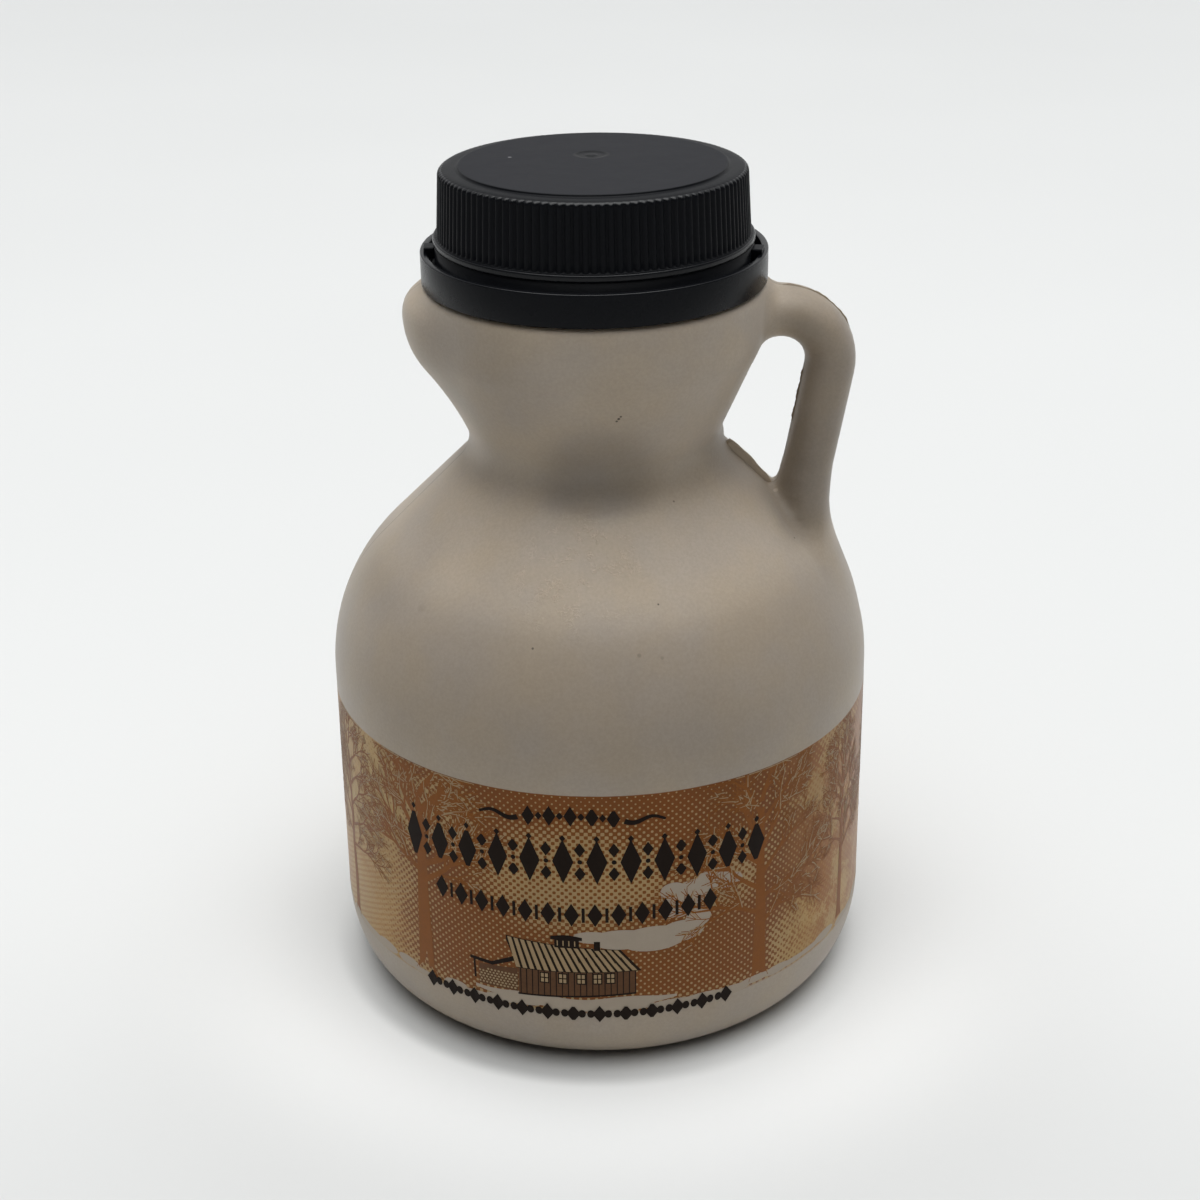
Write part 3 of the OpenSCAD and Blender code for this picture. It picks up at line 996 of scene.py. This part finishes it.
tree_polys, frost_polys = [], []
for spec in ((-25.6, 10.6, 44.0, 15.0, 2.7, 3, 0.40), (21.6, 10.6, 44.0, 15.0, 2.2, 11, 0.22),
             (39.6, 11.2, 43.0, 10.0, 1.3, 5, 0.30), (-44.0, 10.4, 43.5, 12.0, 1.5, 8, 0.30),
             (58.0, 10.6, 43.5, 14.0, 2.0, 21, 0.30), (79.0, 10.8, 43.5, 14.0, 2.4, 33, 0.32),
             (98.0, 10.6, 43.5, 12.0, 1.6, 41, 0.30), (-64.0, 10.6, 43.5, 14.0, 2.2, 52, 0.32),
             (-86.0, 10.8, 43.5, 13.0, 1.8, 61, 0.30), (-106.0, 10.8, 43.5, 12.0, 1.5, 73, 0.34)):
    t_out, f_out = bare_tree(*spec)
    tree_polys += t_out
    frost_polys += f_out


def low_shed():
    """A plain plank shed with a slanted roof, a vent and a lean-to."""
    dark, wall, pale = [], [], []

    def line(p, q):
        return lambda t: p[1] + (q[1] - p[1]) * (t - p[0]) / (q[0] - p[0])

    eave = line((-11.3, 16.2), (4.4, 16.5))
    foot = line((-11.4, 11.9), (4.1, 12.8))
    wall += span(-11.3, 4.1, foot, eave, 0.004)
    # roof boards: dark with pale strips that lean with the roof
    n = 17
    for i in range(n):
        a, b = i / n, (i + 0.62) / n
        top = [(-12.7 + 14.8 * t, 20.6 - 1.0 * t) for t in (a, b)]
        low = [(-11.6 + 16.2 * t, 16.05 + 0.35 * t) for t in (a, b)]
        pale.append(([low[0], low[1], top[1], top[0]], 0.012))
    dark += span(-12.9, -11.5, lambda t: 16.4 + (-11.5 - t) * 2.6,
                 lambda t: 20.75 - (t + 12.9) * 0.1, 0.008)
    for i in range(24):
        a, b = i / 24, (i + 1) / 24
        top = [(-12.7 + 14.8 * t, 20.7 - 1.0 * t) for t in (a, b)]
        low = [(-11.6 + 16.4 * t, 15.95 + 0.35 * t) for t in (a, b)]
        dark.append(([low[0], low[1], top[1], top[0]], 0.008))
    # planks of the wall
    for i in range(20):
        t = -11.0 + 15.0 * i / 19
        dark += stroke([(t, foot(t)), (t + 0.02, eave(t) - 0.1)], 0.12, 0.16, 0.010)
    dark += span(-11.4, 4.1, lambda t: foot(t) - 0.12, lambda t: foot(t) + 0.14, 0.010)
    # windows
    for i, t in enumerate((-7.8, -5.4, -3.0, -0.9, 0.8)):
        h = 15.0 + 0.07 * i
        dark += span(t - 0.62, t + 0.62, lambda q: h - 0.85, lambda q: h + 0.85, 0.012)
        for du in (-0.27, 0.27):
            for dz in (-0.38, 0.38):
                pale += span(t + du - 0.19, t + du + 0.19,
                             lambda q: h + dz - 0.29, lambda q: h + dz + 0.29, 0.018)
    # vent on the ridge
    dark += span(-6.4, -3.2, lambda t: 19.9, lambda t: 21.2, 0.014)
    dark += span(-6.9, -2.8, lambda t: 21.1, lambda t: 21.9 - 0.12 * abs(t + 4.9) ** 1.4, 0.014)
    for i in range(4):
        pale += stroke([(-6.0 + 0.75 * i, 20.2), (-6.0 + 0.75 * i, 21.0)], 0.14, 0.14, 0.018)
    dark += span(-1.3, -0.5, lambda t: 19.6, lambda t: 21.0, 0.014)
    # lean-to with stacked logs
    dark += stroke([(-18.2, 16.0), (-15.0, 15.8), (-11.6, 17.4)], 0.45, 0.7, 0.010)
    dark += stroke([(-17.6, 16.0), (-17.5, 12.9)], 0.3, 0.3, 0.010)
    wall += span(-16.9, -11.4, lambda t: 12.2, lambda t: 15.3 + 0.10 * (t + 16.9), 0.003)
    rnd = random.Random(4)
    for row in range(6):
        for col in range(11):
            cu = -16.8 + col * 0.5 + 0.22 * (row % 2)
            cz = 12.6 + row * 0.42
            if cz < 14.6 + 0.1 * (cu + 16.9):
                pale += oval(cu, cz, 0.19 * rnd.uniform(0.8, 1.0), 0.15, 0.016)
    return dark, wall, pale


shed_dark, shed_wall, shed_pale = low_shed()

# smoke drifting from the vent, and snow on the ground under the trees
smoke = []
for u, z, ru, rz in ((-1.5, 21.6, 2.6, 0.9), (2.2, 21.2, 4.0, 1.5), (6.4, 21.0, 4.6, 1.9),
                     (10.2, 21.6, 3.2, 1.6), (12.4, 23.2, 1.8, 1.5), (9.6, 25.4, 2.2, 1.7),
                     (11.8, 27.2, 2.6, 1.9), (14.4, 28.6, 2.4, 1.5), (16.8, 27.6, 2.0, 1.1),
                     (9.0, 27.8, 1.8, 1.3)):
    smoke += oval(u, z, ru, rz, 0.0005 * len(smoke) % 0.004)
ground = []
for i in range(60):
    rnd = random.Random(100 + i)
    u = -114 + i * 3.85 + rnd.uniform(-1, 1)
    ground += oval(u, 10.6 + rnd.uniform(-0.5, 0.3), rnd.uniform(1.6, 3.6),
                   rnd.uniform(0.35, 0.75), rnd.uniform(0, 0.003))
ground += span(-17.5, 9.5, lambda t: 10.4 + 0.006 * (t + 4) ** 2,
               lambda t: 12.1 + 0.25 * math.sin(t * 0.5), 0.002)


def row(count, first, length, z, rise):
    """The places in a curved row: number, u and z, highest by rise in the middle."""
    for i in range(count):
        t = i / (count - 1)
        yield i, first + length * t, z + rise * (1 - (2 * t - 1) ** 2)


def ornaments():
    """Plain shapes where the wording was: borders of lozenges, bars and dots."""
    out = []
    # short top row between two wavy dashes
    for i, u in enumerate(np.linspace(-9.4, 1.4, 9)):
        ru, rz = (0.85, 1.45) if i % 2 == 0 else (0.45, 0.6)
        out += lozenge(u, 39.3 + 0.02 * (16 - (i - 4) ** 2), ru, rz, 0.02)
    for sgn, c in ((-1, -13.4), (1, 5.4)):
        path = [(c + 0.9 * t, 39.0 + 0.38 * math.sin(1.15 * t * sgn + 0.4))
                for t in np.linspace(-2.9, 2.9, 13)]
        w0, w1 = (0.75, 0.35) if sgn > 0 else (0.35, 0.75)
        out += stroke(path, w0, w1, 0.02)
    # main row: tall lozenges with pairs of small ones between them
    for i, u, z in row(23, -26.6, 47.4, 32.1, 0.9):
        tall = 4.0 if i == 0 else 3.3
        if i % 2 == 0:
            out += lozenge(u, z, 1.35, tall, 0.02)
            out += lozenge(u, z + tall + 0.1, 0.4, 0.5, 0.02)
        else:
            out += lozenge(u, z + 1.75, 0.72, 1.05, 0.02)
            out += lozenge(u, z - 1.75, 0.72, 1.05, 0.02)
            out += oval(u, z, 0.32, 0.32, 0.02)
    # second row: lozenges and upright bars
    for i, u, z in row(25, -22.2, 36.2, 25.5, -0.5):
        if i % 2 == 0:
            out += lozenge(u, z, 1.0, 1.75, 0.02)
        else:
            out += span(u - 0.2, u + 0.2, lambda q: z - 1.1, lambda q: z + 1.1, 0.02)
    # bottom row: lozenges with two dots between them
    for i, u, z in row(37, -24.6, 41.0, 9.95, -0.3):
        if i % 3 == 0:
            out += lozenge(u, z, 0.95, 1.35, 0.05)
        else:
            out += oval(u, z, 0.5, 0.62, 0.03)
    return out


marks = ornaments()

for name, polys, mat, lift in (
    ("print_smoke", smoke, INK_SNOW, 0.012), ("print_ground", ground, INK_SNOW, 0.012),
    ("print_trees", tree_polys, INK_TREE, 0.018), ("print_frost", frost_polys, INK_PALE, 0.018),
    ("print_shed_wall", shed_wall, INK_WALL, 0.018), ("print_shed_dark", shed_dark, INK_DARK, 0.018),
    ("print_shed_pale", shed_pale, INK_PALE, 0.018), ("print_marks", marks, INK_DARK, 0.020),
):
    vs, fs = wrap(polys, lift)
    o = mesh_object(name, vs, fs, mat)
    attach(o, "root")


# ---------------------------------------------------------------- stage
def floor_material():
    """Matt white floor with a faint grain, painted light round the jug's front and a painted contact
    shadow at its foot.
    """
    m, k, b = material("floor_white")
    pos, x, y, _ = k.place()
    n1 = k.noise(pos, 0.004, 2.0)
    n2 = k.noise(pos, 0.8, 3.0)
    v = k.add(k.ramp(n1, 0.3, 0.7, 0.99, 1.01), k.mul(k.sub(n2, 0.5), 0.012))
    from_foot = k.math("SQRT", k.add(k.mul(x, x), k.mul(y, y)))
    # painted light: paler in front of the jug, so that its shadow stays short; right at the foot a
    # painted contact shadow, darker on the left
    contact_shadow = k.mul(k.ramp(from_foot, 37.6, 40.5, 1.0, 0.0), k.ramp(x, -15.0, 30.0, 0.42, 0.12))
    close = k.ramp(from_foot, 40.0, 80.0, 1.0, 0.0)
    foot_light_and_shadow = k.mul(k.sub(1.0, contact_shadow), k.add(1.0, k.mul(k.mul(close, close), 0.37)))
    in_front = k.ramp(y, -45.0, 10.0, 1.0, 0.0)
    v = k.mul(v, k.add(1.03, k.mul(in_front, k.sub(foot_light_and_shadow, 1.03))))
    # painted shade: the floor darkens toward the camera
    v = k.mul(v, k.ramp(y, -75.0, -20.0, 0.93, 1.0))
    k.put(b.inputs["Base Color"], k.mix(1.0, (0.67, 0.675, 0.67, 1.0), k.join(v, v, v), "MULTIPLY"))
    b.inputs["Roughness"].default_value = 0.75
    b.inputs["Specular IOR Level"].default_value = 0.2
    k.put(b.inputs["Normal"], k.bump(n2, 0.1, 0.0001))
    return m


floor_corners = [(-4000, -3000, 0), (4000, -3000, 0), (4000, 6000, 0), (-4000, 6000, 0)]
floor = mesh_object("floor", floor_corners, [(0, 1, 2, 3)], floor_material())


def area(name, place, aim, size, power, colour):
    """A rectangular light at a place, turned toward its aim."""
    d = bpy.data.lights.new(name, "AREA")
    d.shape = "RECTANGLE"
    d.size, d.size_y = size
    d.energy = power
    d.color = colour
    o = bpy.data.objects.new(name, d)
    bpy.context.scene.collection.objects.link(o)
    o.location = place
    o.rotation_mode = "QUATERNION"
    o.rotation_quaternion = (Vector(aim) - Vector(place)).to_track_quat("-Z", "Y")
    return o


area("top_soft", (0.0, 0.05, 0.95), (0, 0, 0.05), (0.8, 0.6), 2.2, (1.0, 0.995, 0.985))

world = bpy.data.worlds.new("studio")
bpy.context.scene.world = world
world.use_nodes = True
wk = Nodes(world.node_tree)
coord = wk.node("ShaderNodeTexCoord")
sep = wk.node("ShaderNodeSeparateXYZ")
wk.put(sep.inputs[0], coord.outputs["Generated"])
# bright overhead, dim low down, dimmest toward the camera
back = wk.ramp(sep.outputs[1], -0.15, 0.75, 0.03, 0.55)
high = wk.ramp(sep.outputs[2], 0.70, 0.97)
sky = wk.mul(wk.add(back, wk.mul(high, 3.0)), wk.ramp(sep.outputs[0], -0.8, 0.8, 0.92, 1.08))
bg = world.node_tree.nodes["Background"]
wk.put(bg.inputs["Color"], wk.mix(1.0, (0.985, 0.995, 1.0, 1.0), wk.join(sky, sky, sky), "MULTIPLY"))
bg.inputs["Strength"].default_value = 1.0

# ---------------------------------------------------------------- camera
DIST, HEIGHT = 0.24075, 0.16766
pitch, yaw, roll = (math.radians(a) for a in (25.70, 0.03, -0.80))
fw = Vector((math.sin(yaw) * math.cos(pitch), math.cos(yaw) * math.cos(pitch), -math.sin(pitch)))
right = fw.cross(Vector((0, 0, 1))).normalized()
up = right.cross(fw)
r2 = right * math.cos(roll) + up * math.sin(roll)
u2 = up * math.cos(roll) - right * math.sin(roll)
cam_data = bpy.data.cameras.new("cam")
cam_data.sensor_width = 36.0
cam_data.lens = 57.87
cam_data.clip_start = 0.01
cam_data.clip_end = 30.0
cam_data.dof.use_dof = False
cam = bpy.data.objects.new("cam", cam_data)
bpy.context.scene.collection.objects.link(cam)
rot = Matrix((r2, u2, -fw)).transposed()
cam.matrix_world = Matrix.Translation((0, -DIST, HEIGHT)) @ rot.to_4x4()
bpy.context.scene.camera = cam
bpy.context.scene.view_settings.view_transform = "Standard"
bpy.context.scene.view_settings.look = "None"
